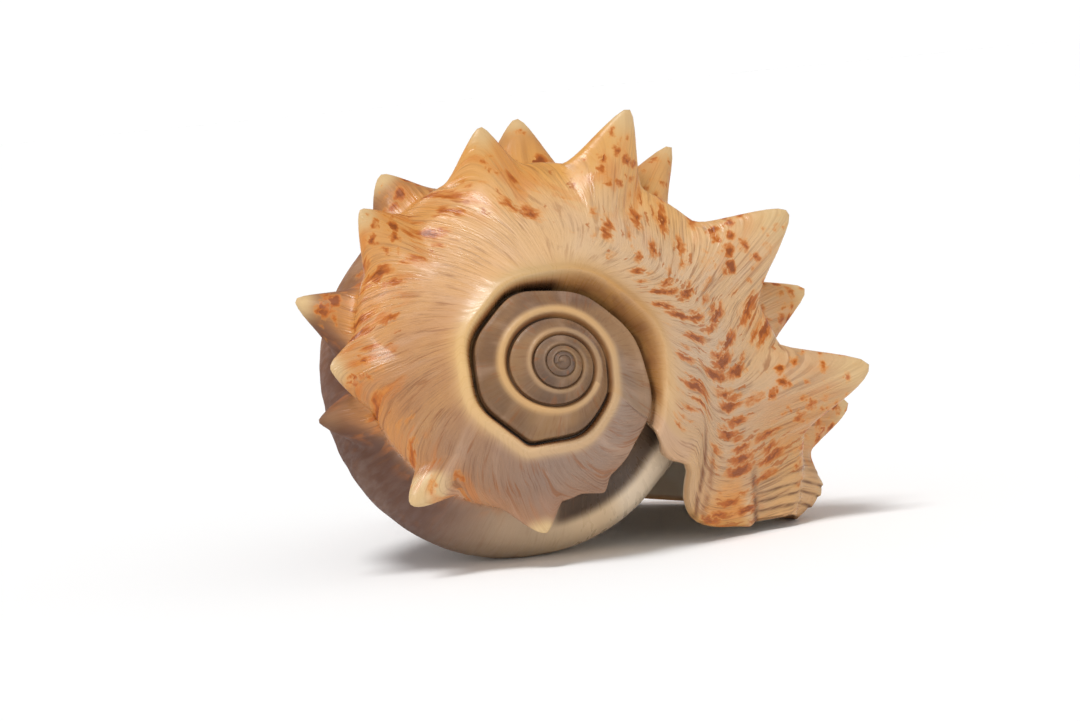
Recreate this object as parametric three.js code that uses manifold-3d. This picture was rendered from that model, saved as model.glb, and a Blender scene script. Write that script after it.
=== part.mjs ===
// A crown conch shell, grown as one piece and lying on its aperture with the apex turned to the front.
// Millimetres, +Z up, the surface it lies on at Z = 0, and the origin under the middle of its box.
//
// The wall is wound clockwise, seen from the apex, round an axis. A place on it has a growth angle in
// degrees, 0 at the outer lip and negative further back, and a place along the whorl's outline, which
// runs from the suture over the rim, the ramp and the spiny shoulder and down to the tip of the canal.

import * as THREE from "three";
import { mergeVertices } from "three/addons/utils/BufferGeometryUtils.js";
import Module from "manifold-3d";

// Driving dimensions
const SHELL_LENGTH = 117; // apex to the tip of the canal
const TURN = 360;
const TURNS = 3.8; // whorls that are modelled, back from the lip
const WHORL_RATIO = 1.72; // how much wider each whorl of the spire is than the one before
const SPIRE_SLOPE = 0.8; // depth below the apex for each millimetre of shoulder radius, at the apex
const SPIRE_FLATTENING = 140; // shoulder radius at which that depth is halved
const WALL = 2.4; // wall inside the aperture
const LIP_EDGE = 1.6; // wall at the edge of the lip
const CAVITY_SWEEP = 125; // how far the hollow is followed back from the lip
const REST_TRIM = 0.5; // worn flat where the shell touches the surface it lies on

// How the shell lies
const LIP_BEARING = -22; // angle of the lip about the axis, seen from the apex, from the right
const AXIS_TILT = 17.3; // apex turned away from straight forwards
const AXIS_TILT_BEARING = 48; // towards the upper right
const ROLL = 5.6; // turned a little about the front-to-back line, to lie on the lip
const PITCH = 4.4; // apex raised, to lie on the canal

// Shoulder radius at growth angles along the last whorl
const SHOULDER = [
  [-360, 18],
  [-300, 21],
  [-250, 25.5],
  [-200, 31],
  [-168, 35.5],
  [-138, 39.2],
  [-102, 41.6],
  [-68, 43],
  [-38, 45],
  [-12, 49.5],
  [0, 51],
];

// Spines, each at a growth angle, with its length and how many degrees its foot spreads before and after.
const UPPER_SPINES = [
  { at: -28.5, length: 13.5, before: 7, after: 13 },
  { at: -58, length: 13, before: 12, after: 14 },
  { at: -93, length: 11.7, before: 11, after: 10 },
  { at: -123, length: 7.2, before: 12, after: 9 },
  { at: -157, length: 6.6, before: 13, after: 9 },
  { at: -199, length: 5.6, before: 14, after: 13 },
  { at: -245, length: 6.2, before: 9, after: 9 },
  { at: -290, length: 5, before: 8, after: 20 },
  { at: -317, length: 1.8, before: 8, after: 10 },
];
const LOWER_SPINES = [
  { at: -3, length: 6, before: 7, after: 8 },
  { at: -23, length: 11, before: 7, after: 14 },
  { at: -45, length: 11.2, before: 10, after: 11 },
  { at: -82, length: 11.7, before: 9, after: 8 },
  { at: -113, length: 9.5, before: 10, after: 11 },
  { at: -145, length: 8, before: 16, after: 12 },
  { at: -181, length: 9.6, before: 13, after: 11 },
  { at: -211, length: 7.7, before: 12, after: 10 },
];
const CORNER_START = -363; // growth angle of the last of the spire's blunt corners
const CORNER_STEP = 44.7; // their spacing
const CORNER_SIZE = 0.03; // their height, as a share of the shoulder radius
const TOOTH = -633; // the one corner that is sharper

// How the spire's third whorl differs from an even spiral
const UNEVEN = [
  [-2200, 1],
  [-1150, 1],
  [-1012, 0.95],
  [-922, 1.05],
  [-832, 0.98],
  [-742, 0.85],
  [-690, 0.94],
  [-640, 1],
  [0, 1],
];

// Mesh fineness
const ROW_STEP = 5.6; // the most degrees between two rows of vertices
const CAVITY_ROWS = 13;

const DEG = Math.PI / 180;
const lerp = THREE.MathUtils.lerp;
const smoothstep = THREE.MathUtils.smoothstep;

// A smooth curve through [x, y] pairs, read at x.
function curveThrough(pairs) {
  const curve = new THREE.SplineCurve(pairs.map(([x, y]) => new THREE.Vector2(x, y)));
  return (x) => {
    let i = pairs.findIndex(([at]) => at >= x);
    i = Math.max(1, i < 0 ? pairs.length - 1 : i);
    const share = (x - pairs[i - 1][0]) / (pairs[i][0] - pairs[i - 1][0]);
    return curve.getPoint((i - 1 + share) / (pairs.length - 1)).y;
  };
}

const bodyShoulder = curveThrough(SHOULDER);
const uneven = curveThrough(UNEVEN);

// How far the channel along the suture is widened, from 0 to 1.
function channel(angle) {
  return smoothstep(angle, -145, -95) * (1 - smoothstep(angle, -45, -12));
}

// Blunt corners of the spire's whorls, where old spines are worn down.
function corners(angle) {
  const wave = 0.5 * Math.cos((2 * Math.PI * (angle - CORNER_START)) / CORNER_STEP);
  const tooth = 1.1 * Math.exp(-(((angle - TOOTH) / 7) ** 2));
  return (wave + tooth) * smoothstep(angle, -800, -700) * (1 - smoothstep(angle, -355, -335));
}

function shoulderRadius(angle) {
  const cornered = 1 + CORNER_SIZE * corners(angle);
  if (angle >= -TURN) return cornered * bodyShoulder(angle);
  const narrowed = (1 - 0.06 * channel(angle + TURN)) * uneven(angle);
  return cornered * narrowed * SHOULDER[0][1] * WHORL_RATIO ** ((angle + TURN) / TURN);
}

function shoulderDepth(angle) {
  const radius = shoulderRadius(angle);
  return (SPIRE_SLOPE * radius) / (1 + radius / SPIRE_FLATTENING);
}

// The outline of a whorl at one growth angle, as points of radius and depth.
const RIM_CREST = 3;
const RAMP_START = 4;
const SHOULDER_POINT = 7;
const NEXT_SUTURE = 8;
const LAST_POINT = 17;

function outline(angle) {
  const inner = shoulderRadius(angle - TURN);
  const innerDepth = shoulderDepth(angle - TURN);
  const shoulder = shoulderRadius(angle);
  const depth = shoulderDepth(angle);
  const back = Math.max(angle, -TURN);
  const bulge = 1 + 0.46 * Math.exp(-(back + TURN) / 100);
  const length = 0.62 ** (-back / TURN) * (SHELL_LENGTH - shoulderDepth(0));
  const canal = lerp(5.5, 13, ((back + TURN) / TURN) ** 1.5);
  const wide = channel(angle);
  const ramp = (share, dip) => [
    lerp((1.27 + 0.1 * wide) * inner, shoulder, share),
    lerp(innerDepth + 0.01 * inner, depth, share) + dip * shoulder,
  ];
  const baseDepth = depth + 0.81 * length;
  const canalDepth = SHELL_LENGTH - 9;
  return [
    [inner, innerDepth + 0.08 * inner],
    [1.035 * inner, innerDepth + (0.15 + 0.1 * wide) * inner],
    [(1.07 + 0.05 * wide) * inner, innerDepth + (0.03 + 0.07 * wide) * inner],
    [(1.14 + 0.12 * wide) * inner, innerDepth - 0.05 * inner],
    ramp(0, 0),
    ramp(0.42, 0.02),
    ramp(0.78, 0.025),
    [shoulder, depth],
    [shoulder, depth + 0.08 * shoulder],
    [bulge * shoulder, depth + 0.2 * length],
    [0.97 * bulge * shoulder, depth + 0.42 * length],
    [0.7 * shoulder, depth + 0.65 * length],
    [0.42 * shoulder, baseDepth],
    [lerp(0.42 * shoulder, canal, 0.6), lerp(baseDepth, canalDepth, 0.5)],
    [canal, canalDepth],
    [0.82 * canal, SHELL_LENGTH - 4],
    [0.5 * canal, SHELL_LENGTH - 0.8],
    [0, SHELL_LENGTH],
  ];
}

function outlineCurve(angle) {
  const points = outline(angle).map(([r, h]) => new THREE.Vector3(r, h, 0));
  const curve = new THREE.CatmullRomCurve3(points);
  return (place) => {
    const p = curve.getPoint(place / LAST_POINT);
    return [p.x, p.y];
  };
}

// Places along the outline that get a vertex: a few steps from each point to the next.
const STEPS = [1, 1, 1, 1, 2, 2, 2, 1, 3, 2, 2, 2, 2, 1, 1, 1, 1];
const PLACES = STEPS.flatMap((n, i) => Array.from({ length: n }, (_, k) => i + k / n));
PLACES.push(LAST_POINT);
const SUTURE_COLUMN = PLACES.indexOf(NEXT_SUTURE);
const SHOULDER_COLUMN = PLACES.indexOf(SHOULDER_POINT);
const LAST_COLUMN = PLACES.length - 1;

// The lip's edge, and the last of the wall behind it, run forwards of the meridian by these degrees.
const lipShape = curveThrough([
  [0, 0],
  [1.5, 1],
  [RIM_CREST, 5],
  [RAMP_START, 6],
  [4.5, 8.2],
  [5, 14.8],
  [5.5, 13],
  [6, 7.5],
  [SHOULDER_POINT, 2],
  [NEXT_SUTURE, 0],
  [9, -3],
  [10, -9],
  [11, -12],
  [12, -14],
  [14, -12],
  [15, -16],
  [16, -25],
  [LAST_POINT, -40],
]);
const LIP_REACH = 55; // degrees behind the lip over which that shape fades in

function bearing(angle, place) {
  const along = angle + lipShape(place) * smoothstep(angle, -LIP_REACH, 0);
  return (LIP_BEARING - along) * DEG;
}

// A point in the part's frame before it is laid down: +Y runs down the axis from the apex.
function onAxis(r, h, turn) {
  return new THREE.Vector3(r * Math.cos(turn), h, r * Math.sin(turn));
}

// How far out the spines lift the wall, as a vector.
const UPPER_ROW = { list: UPPER_SPINES, place: SHOULDER_POINT, above: 1.9, below: 1.25, rise: 0.25 };
const LOWER_ROW = { list: LOWER_SPINES, place: NEXT_SUTURE + 1 / 3, above: 0.9, below: 0.65, rise: 0 };
const SPINE_TAPER = 1.35;

function spineLift(angle, place, turn) {
  const lift = new THREE.Vector3();
  for (const row of [UPPER_ROW, LOWER_ROW]) {
    const across = (place - row.place) / (place < row.place ? row.above : row.below);
    for (const { at, length, before, after } of row.list) {
      const away = Math.hypot((angle - at) / (angle < at ? before : after), across);
      if (away >= 1) continue;
      const height = length * (1 - away) ** SPINE_TAPER;
      lift.add(onAxis(height, -row.rise * height, turn));
    }
  }
  return lift;
}

function outerPoint(angle, curve, place) {
  const [r, h] = curve(place);
  const turn = bearing(angle, place);
  return onAxis(r, h, turn).add(spineLift(angle, place, turn));
}

// Growth angles of the rows in one turn: every spine's own, and even steps between them.
function rowAngles() {
  const keys = [...UPPER_SPINES, ...LOWER_SPINES].map(({ at }) => at);
  const marks = [-TURN, ...keys, 0].sort((a, b) => a - b);
  const rows = [];
  for (let i = 0; i + 1 < marks.length; i++) {
    const steps = Math.max(1, Math.ceil((marks[i + 1] - marks[i]) / ROW_STEP));
    for (let k = 0; k < steps; k++) rows.push(lerp(marks[i], marks[i + 1], k / steps));
  }
  return rows;
}

// The whole surface as indexed vertices and quads.
const vertices = [];
const triangles = [];
const addVertex = (v) => vertices.push(v) - 1;

function addQuad(a, b, c, d) {
  if (a !== b && b !== c && c !== a) triangles.push(a, c, b);
  if (a !== c && c !== d && d !== a) triangles.push(a, d, c);
}

// The outside. A spire whorl is seen only as far as the next suture, and its last column is the first
// column of the whorl outside it. Every row of the last whorl ends at the tip of the canal.
const turnRows = rowAngles();
const firstAngle = -TURNS * TURN;
const rows = [];
for (let turn = -Math.ceil(TURNS); turn < 0; turn++) {
  for (const row of turnRows) {
    const angle = row + (turn + 1) * TURN;
    if (angle >= firstAngle) rows.push(angle);
  }
}
rows.push(0);
const perTurn = turnRows.length;
const bodyStart = rows.length - 1 - perTurn;
const tip = addVertex(onAxis(0, SHELL_LENGTH, 0));
const apex = addVertex(onAxis(0, 0, 0));
const grid = [];
for (let i = 0; i < rows.length; i++) {
  const curve = outlineCurve(rows[i]);
  const columns = i < bodyStart ? SUTURE_COLUMN : LAST_COLUMN;
  const line = [];
  for (let j = 0; j <= columns; j++) {
    if (j === 0 && i >= perTurn) line.push(grid[i - perTurn][SUTURE_COLUMN]);
    else if (j === LAST_COLUMN) line.push(tip);
    else line.push(addVertex(outerPoint(rows[i], curve, PLACES[j])));
  }
  grid.push(line);
}
for (let i = 0; i + 1 < rows.length; i++) {
  const columns = i < bodyStart ? SUTURE_COLUMN : LAST_COLUMN;
  for (let j = 0; j < columns; j++) {
    addQuad(grid[i][j], grid[i][j + 1], grid[i + 1][j + 1], grid[i + 1][j]);
  }
}

// The apex closes the start of the spiral.
for (let i = 0; i < perTurn; i++) triangles.push(apex, grid[i + 1][0], grid[i][0]);
for (let j = 0; j < SUTURE_COLUMN; j++) triangles.push(apex, grid[0][j], grid[0][j + 1]);

// The hollow behind the lip. Each ring runs along the inside of the wall from the suture to the canal,
// and back up the columella and the whorl within.
const CORNER_PLACE = 8.4; // where the inside of the wall meets the whorl within, on that whorl
const HOLLOW_END_DEPTH = 62; // depth of the hollow's lower end where it is closed off
const FLOOR_POINTS = 3; // points across the hollow's lower end
const LIP_THINNING = 35; // degrees behind the lip over which the ramp's wall grows thick

function placeAtDepth(curve, depth, from) {
  let low = from;
  let high = LAST_POINT;
  for (let k = 0; k < 30; k++) {
    const middle = (low + high) / 2;
    if (curve(middle)[1] < depth) low = middle;
    else high = middle;
  }
  return low;
}

function inset(curve, place, wall) {
  const step = 0.02;
  const [r0, h0] = curve(Math.max(0, place - step));
  const [r1, h1] = curve(Math.min(LAST_POINT, place + step));
  const size = Math.hypot(r1 - r0, h1 - h0) || 1;
  const [r, h] = curve(place);
  return [r - ((h1 - h0) / size) * wall, h + ((r1 - r0) / size) * wall];
}

function cavityRing(back) {
  const angle = -back;
  const share = back / CAVITY_SWEEP;
  const deep = smoothstep(back, 0, 30);
  const wall = lerp(LIP_EDGE, WALL, deep);
  const curve = outlineCurve(angle);
  const within = outlineCurve(angle - TURN);
  const endDepth = lerp(SHELL_LENGTH - 2.5, HOLLOW_END_DEPTH, share ** 0.8);
  const wallEnd = placeAtDepth(curve, endDepth, SHOULDER_POINT);
  const columellaEnd = placeAtDepth(within, endDepth, NEXT_SUTURE);
  const corner = within(CORNER_PLACE);
  const underShoulder = inset(curve, SHOULDER_POINT + 0.5, 1.4 * wall);
  const ring = [];
  let last;
  for (let j = 0; j < LAST_COLUMN; j++) {
    const place = PLACES[j];
    let point;
    if (place < SHOULDER_POINT) {
      const reach = (curve(place)[0] - corner[0]) / (underShoulder[0] - corner[0]);
      const along = THREE.MathUtils.clamp(Math.max(reach, 0.02 * place), 0, 1);
      const bow = 2 * Math.sin(Math.PI * along);
      const roof = [lerp(corner[0], underShoulder[0], along), lerp(corner[1], underShoulder[1], along) - bow];
      const thin = (1 - smoothstep(back, 0, LIP_THINNING)) * smoothstep(place, 3.6, 4.6);
      const edge = inset(curve, place, wall);
      point = [lerp(roof[0], edge[0], thin), lerp(roof[1], edge[1], thin)];
    } else {
      const along = (place - SHOULDER_POINT) / (LAST_POINT - SHOULDER_POINT);
      const [r, h] = inset(curve, lerp(SHOULDER_POINT + 0.5, wallEnd, along), wall);
      const core = within(placeAtDepth(within, h, NEXT_SUTURE))[0];
      point = [Math.max(r, core + 0.3), h];
    }
    ring.push(onAxis(...point, bearing(angle, place)));
    last = point;
  }
  const [footRadius, footDepth] = within(columellaEnd);
  for (let k = 1; k <= FLOOR_POINTS; k++) {
    const along = k / (FLOOR_POINTS + 1);
    const sag = 2 * deep * Math.sin(Math.PI * along);
    const place = lerp(PLACES[LAST_COLUMN - 1], LAST_POINT, along);
    const point = [lerp(last[0], footRadius, along), lerp(last[1], footDepth, along) + sag];
    ring.push(onAxis(...point, bearing(angle, place)));
  }
  for (let j = LAST_COLUMN; j > SUTURE_COLUMN; j--) {
    const along = (PLACES[j] - NEXT_SUTURE) / (LAST_POINT - NEXT_SUTURE);
    const place = lerp(CORNER_PLACE, columellaEnd, along);
    ring.push(onAxis(...within(place), bearing(angle, PLACES[j])));
  }
  return ring;
}

let ring = [];
for (let j = 0; j < LAST_COLUMN; j++) ring.push(grid[rows.length - 1][j]);
for (let k = 0; k < FLOOR_POINTS; k++) ring.push(tip);
for (let j = LAST_COLUMN; j > SUTURE_COLUMN; j--) ring.push(grid[bodyStart][j]);
for (let k = 0; k <= CAVITY_ROWS; k++) {
  const next = cavityRing(CAVITY_SWEEP * (k / CAVITY_ROWS) ** 1.5).map(addVertex);
  for (let j = 0; j < ring.length; j++) {
    const after = (j + 1) % ring.length;
    addQuad(ring[j], ring[after], next[after], next[j]);
  }
  ring = next;
}
const middle = new THREE.Vector3();
for (const index of ring) middle.addScaledVector(vertices[index], 1 / ring.length);
const hollowEnd = addVertex(middle);
for (let j = 0; j < ring.length; j++) triangles.push(ring[(j + 1) % ring.length], ring[j], hollowEnd);

// Laid down, and worn flat where it touches the surface.
const apexForward = new THREE.Vector3(0, -1, 0);
const apexDirection = new THREE.Vector3(
  Math.sin(AXIS_TILT * DEG) * Math.cos(AXIS_TILT_BEARING * DEG),
  -Math.cos(AXIS_TILT * DEG),
  Math.sin(AXIS_TILT * DEG) * Math.sin(AXIS_TILT_BEARING * DEG),
);
const geometry = new THREE.BufferGeometry().setFromPoints(vertices);
geometry.setIndex(triangles);
geometry.applyQuaternion(new THREE.Quaternion().setFromUnitVectors(apexForward, apexDirection));
geometry.rotateY(ROLL * DEG);
geometry.rotateX(-PITCH * DEG);
geometry.computeBoundingBox();
const { min, max } = geometry.boundingBox;
geometry.translate(-(min.x + max.x) / 2, -(min.y + max.y) / 2, -min.z - REST_TRIM);

const wasm = await Module();
wasm.setup();

function solidOf(source) {
  const bare = source.clone();
  bare.deleteAttribute("normal");
  bare.deleteAttribute("uv");
  const merged = mergeVertices(bare);
  return new wasm.Manifold(
    new wasm.Mesh({
      numProp: 3,
      vertProperties: merged.attributes.position.array,
      triVerts: new Uint32Array(merged.index.array),
    }),
  );
}

function geometryOf(solid) {
  const { vertProperties, triVerts } = solid.getMesh();
  const made = new THREE.BufferGeometry();
  made.setAttribute("position", new THREE.BufferAttribute(vertProperties, 3));
  made.setIndex(new THREE.BufferAttribute(triVerts, 1));
  return made;
}

const BLOCK = 400;
const underSurface = new THREE.BoxGeometry(BLOCK, BLOCK, BLOCK).translate(0, 0, -BLOCK / 2);
const resting = solidOf(geometry).subtract(solidOf(underSurface));

const shellMaterial = new THREE.MeshStandardMaterial({ color: 0xd9b48a, roughness: 0.35, metalness: 0 });
const shell = new THREE.Mesh(geometryOf(resting), shellMaterial);
shell.name = "shell";

const conch = new THREE.Group();
conch.add(shell);

export default conch;
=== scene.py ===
# A crown conch shell lying on its aperture, with the apex towards the camera.
# The shell is wound in code on the same measures as the solid, in millimetres, and then set in metres.

import math

import bpy
import numpy as np
from mathutils import Matrix, Vector


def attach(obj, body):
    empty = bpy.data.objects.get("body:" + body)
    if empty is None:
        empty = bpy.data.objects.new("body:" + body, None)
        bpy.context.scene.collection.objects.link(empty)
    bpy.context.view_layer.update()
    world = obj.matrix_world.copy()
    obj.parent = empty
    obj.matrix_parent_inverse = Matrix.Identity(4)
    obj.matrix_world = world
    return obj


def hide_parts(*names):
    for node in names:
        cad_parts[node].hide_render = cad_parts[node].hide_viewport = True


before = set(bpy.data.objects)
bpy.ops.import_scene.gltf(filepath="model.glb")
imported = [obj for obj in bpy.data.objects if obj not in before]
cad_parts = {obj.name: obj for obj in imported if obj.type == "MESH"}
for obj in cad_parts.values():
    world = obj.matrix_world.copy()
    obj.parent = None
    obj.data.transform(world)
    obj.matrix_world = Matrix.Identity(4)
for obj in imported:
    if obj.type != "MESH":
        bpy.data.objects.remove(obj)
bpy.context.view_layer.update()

MM = 0.001
TURN = 360.0
rng = np.random.RandomState(11)

# Measures of the shell, as in the solid but for the deeper hollow
SHELL_LENGTH = 117.0
TURNS = 5.6
WHORL_RATIO = 1.72
SPIRE_SLOPE = 0.8
SPIRE_FLATTENING = 140.0
BODY_RATIO = 0.62
BASE_SHARE = 0.81
BASE_WIDTH = 0.42
CANAL_RADII = 5.5, 13.0
CANAL_TIP = 9.0
OLD_BULGE = 0.46
OLD_BULGE_FADE = 100.0
WALL = 2.4
LIP_EDGE = 1.6
CAVITY_SWEEP = 190.0

# How it lies, and where its apex is
LIP_BEARING = -22.0
AXIS_TILT = math.radians(17.3)
AXIS_TILT_BEARING = math.radians(48)
ROLL = math.radians(5.6)
PITCH = math.radians(4.4)
APEX = np.array([-4.126, -55.359, 35.291])

SHOULDER = [
    (-360, 18), (-300, 21), (-250, 25.5), (-200, 31), (-168, 35.5), (-138, 39.2),
    (-102, 41.6), (-68, 43), (-38, 45), (-12, 49.5), (0, 51),
]

# The growth angles between which the suture's channel widens and narrows again
CHANNEL_OPENS = -145, -95
CHANNEL_CLOSES = -45, -12
CHANNEL_NARROWS_SPIRE = 0.06

# Named places along the outline of a whorl
RIM_CREST, RAMP_START, SHOULDER_POINT, NEXT_SUTURE, LAST_POINT = 3, 4, 7, 8, 17

# Spines: growth angle, length, and how many degrees the foot spreads before and after
UPPER_SPINES = [
    (-28.5, 13.5, 7, 13),
    (-58, 13, 12, 14),
    (-93, 11.7, 11, 10),
    (-123, 7.2, 12, 9),
    (-157, 6.6, 13, 9),
    (-199, 5.6, 14, 13),
    (-245, 6.2, 9, 9),
    (-290, 5, 8, 20),
    (-317, 1.8, 8, 10),
]
LOWER_SPINES = [
    (-7, 5, 7, 10),
    (-23, 11, 7, 14),
    (-45, 11.2, 10, 11),
    (-82, 11.7, 9, 8),
    (-113, 9.5, 10, 11),
    (-145, 8, 16, 12),
    (-181, 9.6, 13, 11),
    (-211, 7.7, 12, 10),
]
# Each row: its spines, the place of their middle, and how far they reach above and below it
UPPER_ROW = UPPER_SPINES, SHOULDER_POINT, 1.9, 1.25
LOWER_ROW = LOWER_SPINES, NEXT_SUTURE + 1 / 3, 0.9, 0.65
UPPER_SPINE_RISE = 0.25

# Shape of all spines, and of those that are blunter or more hollowed, by growth angle
SPINE_TAPER = 1.35
SPINE_BLUNTNESS = 0.14
BLUNTER_SPINES = {-7: 0.4, -28.5: 0.26, -58: 0.18, -245: 0.5, -290: 0.2}
HOLLOWED_SPINES = {-28.5: 1.55, -58: 1.7, -93: 1.5, -123: 1.5, -45: 1.6, -82: 1.6, -145: 1.6, -181: 1.5}
FULL_TIP_LENGTH = 5

# Blunt corners of the spire's whorls, and the one tooth
CORNER_STEP = 44.7
CORNER_START = -363.0
CORNER_SIZE = 0.03
TOOTH = -633.0
TOOTH_HEIGHT = 1.1
TOOTH_WIDTH = 7

# How the spire's third whorl differs from an even spiral
UNEVEN = [
    (-2200, 1), (-1150, 1), (-1012, 0.95), (-922, 1.05), (-832, 0.98), (-742, 0.85),
    (-690, 0.94), (-640, 1), (0, 1),
]

# The lip's edge runs forwards of the meridian by these degrees at places along the outline
LIP_SHAPE = [
    (0, 0), (1.5, 1), (RIM_CREST, 5.5), (RAMP_START, 9), (4.25, 9.4), (4.5, 7), (4.58, 8.4),
    (4.68, 13.5), (4.78, 16.3), (5, 17.7), (5.3, 15.6), (5.7, 10.6), (6, 7), (6.5, 3.2),
    (SHOULDER_POINT, 1.2), (NEXT_SUTURE, -0.4), (9, -3), (10, -9), (11, -12), (12, -14),
    (14, -12), (15, -16), (16, -25), (LAST_POINT, -40),
]
LIP_REACH = 55.0


def lerp(a, b, t):
    return a + (b - a) * t


def smoothstep(x, low, high):
    t = np.clip((x - low) / (high - low), 0, 1)
    return t * t * (3 - 2 * t)


def window(x, rise, fall):
    """1 between a rising and a falling slope, and 0 outside them."""
    return smoothstep(x, *rise) * (1 - smoothstep(x, *fall))


def curve_through(pairs):
    xs, ys = np.array(pairs, float).T

    def read(at):
        at = np.asarray(at, float)
        i = np.clip(np.searchsorted(xs, at) - 1, 0, len(xs) - 2)
        t = (at - xs[i]) / (xs[i + 1] - xs[i])
        p0, p1, p2, p3 = ys[np.maximum(i - 1, 0)], ys[i], ys[i + 1], ys[np.minimum(i + 2, len(ys) - 1)]
        v0, v1 = (p2 - p0) / 2, (p3 - p1) / 2
        return (2 * p1 - 2 * p2 + v0 + v1) * t**3 + (3 * p2 - 3 * p1 - 2 * v0 - v1) * t**2 + v0 * t + p1

    return read


body_shoulder = curve_through(SHOULDER)
uneven = curve_through(UNEVEN)
lip_shape = curve_through(LIP_SHAPE)


def channel(angle):
    """How far the suture's channel is widened, from 0 to 1."""
    return window(angle, CHANNEL_OPENS, CHANNEL_CLOSES)


def corners(angle):
    """Blunt corners of the spire's whorls, where old spines are worn down."""
    wave = 0.5 * np.cos(2 * np.pi * (angle - CORNER_START) / CORNER_STEP)
    tooth = TOOTH_HEIGHT * np.exp(-((angle - TOOTH) / TOOTH_WIDTH) ** 2)
    return (wave + tooth) * smoothstep(angle, -800, -700) * (1 - smoothstep(angle, -355, -335))


def shoulder_radius(angle):
    angle = np.asarray(angle, float)
    spire = SHOULDER[0][1] * WHORL_RATIO ** ((np.minimum(angle, -TURN) + TURN) / TURN)
    spire = spire * (1 - CHANNEL_NARROWS_SPIRE * channel(angle + TURN)) * uneven(angle)
    radius = np.where(angle >= -TURN, body_shoulder(np.maximum(angle, -TURN)), spire)
    return radius * (1 + CORNER_SIZE * corners(angle))


def shoulder_depth(angle):
    radius = shoulder_radius(angle)
    return SPIRE_SLOPE * radius / (1 + radius / SPIRE_FLATTENING)


def outline(angle):
    """Radius and depth of the points of a whorl's outline, one row for each growth angle."""
    inner, inner_depth = shoulder_radius(angle - TURN), shoulder_depth(angle - TURN)
    shoulder, depth = shoulder_radius(angle), shoulder_depth(angle)
    back = np.maximum(angle, -TURN)
    bulge = 1 + OLD_BULGE * np.exp(-(back + TURN) / OLD_BULGE_FADE)
    length = BODY_RATIO ** (-back / TURN) * (SHELL_LENGTH - shoulder_depth(np.array(0.0)))
    canal = lerp(*CANAL_RADII, ((back + TURN) / TURN) ** 1.5)
    base, base_depth = BASE_WIDTH * shoulder, depth + BASE_SHARE * length
    canal_depth = SHELL_LENGTH - CANAL_TIP + 0 * angle
    wide = channel(angle)

    def ramp(share, dip):
        return (
            lerp((1.27 + 0.1 * wide) * inner, shoulder, share),
            lerp(inner_depth + 0.01 * inner, depth, share) + dip * shoulder,
        )

    points = [
        (inner, inner_depth + 0.08 * inner),
        (1.035 * inner, inner_depth + (0.15 + 0.1 * wide) * inner),
        ((1.07 + 0.05 * wide) * inner, inner_depth + (0.03 + 0.07 * wide) * inner),
        ((1.14 + 0.12 * wide) * inner, inner_depth - 0.05 * inner),
        ramp(0, 0),
        ramp(0.42, 0.02),
        ramp(0.78, 0.025),
        (shoulder, depth),
        (shoulder, depth + 0.08 * shoulder),
        (bulge * shoulder, depth + 0.2 * length),
        (0.97 * bulge * shoulder, depth + 0.42 * length),
        (0.7 * shoulder, depth + 0.65 * length),
        (base, base_depth),
        (lerp(base, canal, 0.6), lerp(base_depth, canal_depth, 0.5)),
        (canal, canal_depth),
        (0.82 * canal, canal_depth + 5),
        (0.5 * canal, canal_depth + 8.2),
        (0 * angle, canal_depth + CANAL_TIP),
    ]
    return np.stack([np.stack(p, axis=-1) for p in points], axis=1)


def along(points, places):
    """The smooth curve through each row of points, read at places from 0 to LAST_POINT."""
    ends = 2 * points[:, :1] - points[:, 1:2], 2 * points[:, -1:] - points[:, -2:-1]
    p = np.concatenate([ends[0], points, ends[1]], axis=1)
    gap = np.maximum(np.linalg.norm(np.diff(p, axis=1), axis=2), 1e-8) ** 0.5
    i = np.minimum(np.floor(places).astype(int), LAST_POINT - 1)
    t = (places - i)[None, :, None]
    p0, p1, p2, p3 = p[:, i], p[:, i + 1], p[:, i + 2], p[:, i + 3]
    d0, d1, d2 = gap[:, i, None], gap[:, i + 1, None], gap[:, i + 2, None]
    v1 = ((p1 - p0) / d0 - (p2 - p0) / (d0 + d1) + (p2 - p1) / d1) * d1
    v2 = ((p2 - p1) / d1 - (p3 - p1) / (d1 + d2) + (p3 - p2) / d2) * d1
    return p1 + v1 * t + (3 * p2 - 3 * p1 - 2 * v1 - v2) * t**2 + (2 * p1 - 2 * p2 + v1 + v2) * t**3


def bearing(angle, place):
    forward = lip_shape(place) * smoothstep(angle, -LIP_REACH, 0)
    return np.radians(LIP_BEARING - angle - forward)


def on_axis(r, h, turn):
    return np.stack([r * np.cos(turn), h + 0 * turn, r * np.sin(turn)], axis=-1)


def spine_heights(angle, place, spines, centre, above, below):
    """Height of the spines of one row, and how near each point is to a tip."""
    height = np.zeros(np.broadcast(angle, place).shape)
    tip = np.zeros_like(height)
    across = (place - centre) / np.where(place < centre, above, below)
    for at, length, before, after in spines:
        blunt = BLUNTER_SPINES.get(at, SPINE_BLUNTNESS)
        away = np.hypot((angle - at) / np.where(angle < at, before, after), across)
        away = (np.hypot(away, blunt) - blunt) / (math.hypot(1, blunt) - blunt)
        share = np.clip(1 - away, 0, 1) ** HOLLOWED_SPINES.get(at, SPINE_TAPER)
        height += length * share
        tip = np.maximum(tip, share * min(1.0, length / FULL_TIP_LENGTH))
    return height, tip


def wall_points(angle, places):
    """Outer surface for rows of growth angles and columns of places: points, outline and spine tips."""
    profile = along(outline(angle), places)
    a, u = angle[:, None], places[None, :]
    turn = bearing(a, u)
    points = on_axis(profile[..., 0], profile[..., 1], turn)
    upper, upper_tip = spine_heights(a, u, *UPPER_ROW)
    lower, lower_tip = spine_heights(a, u, *LOWER_ROW)
    points += on_axis(upper + lower, -UPPER_SPINE_RISE * upper, turn)
    return points, profile, np.maximum(upper_tip, lower_tip)


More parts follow.
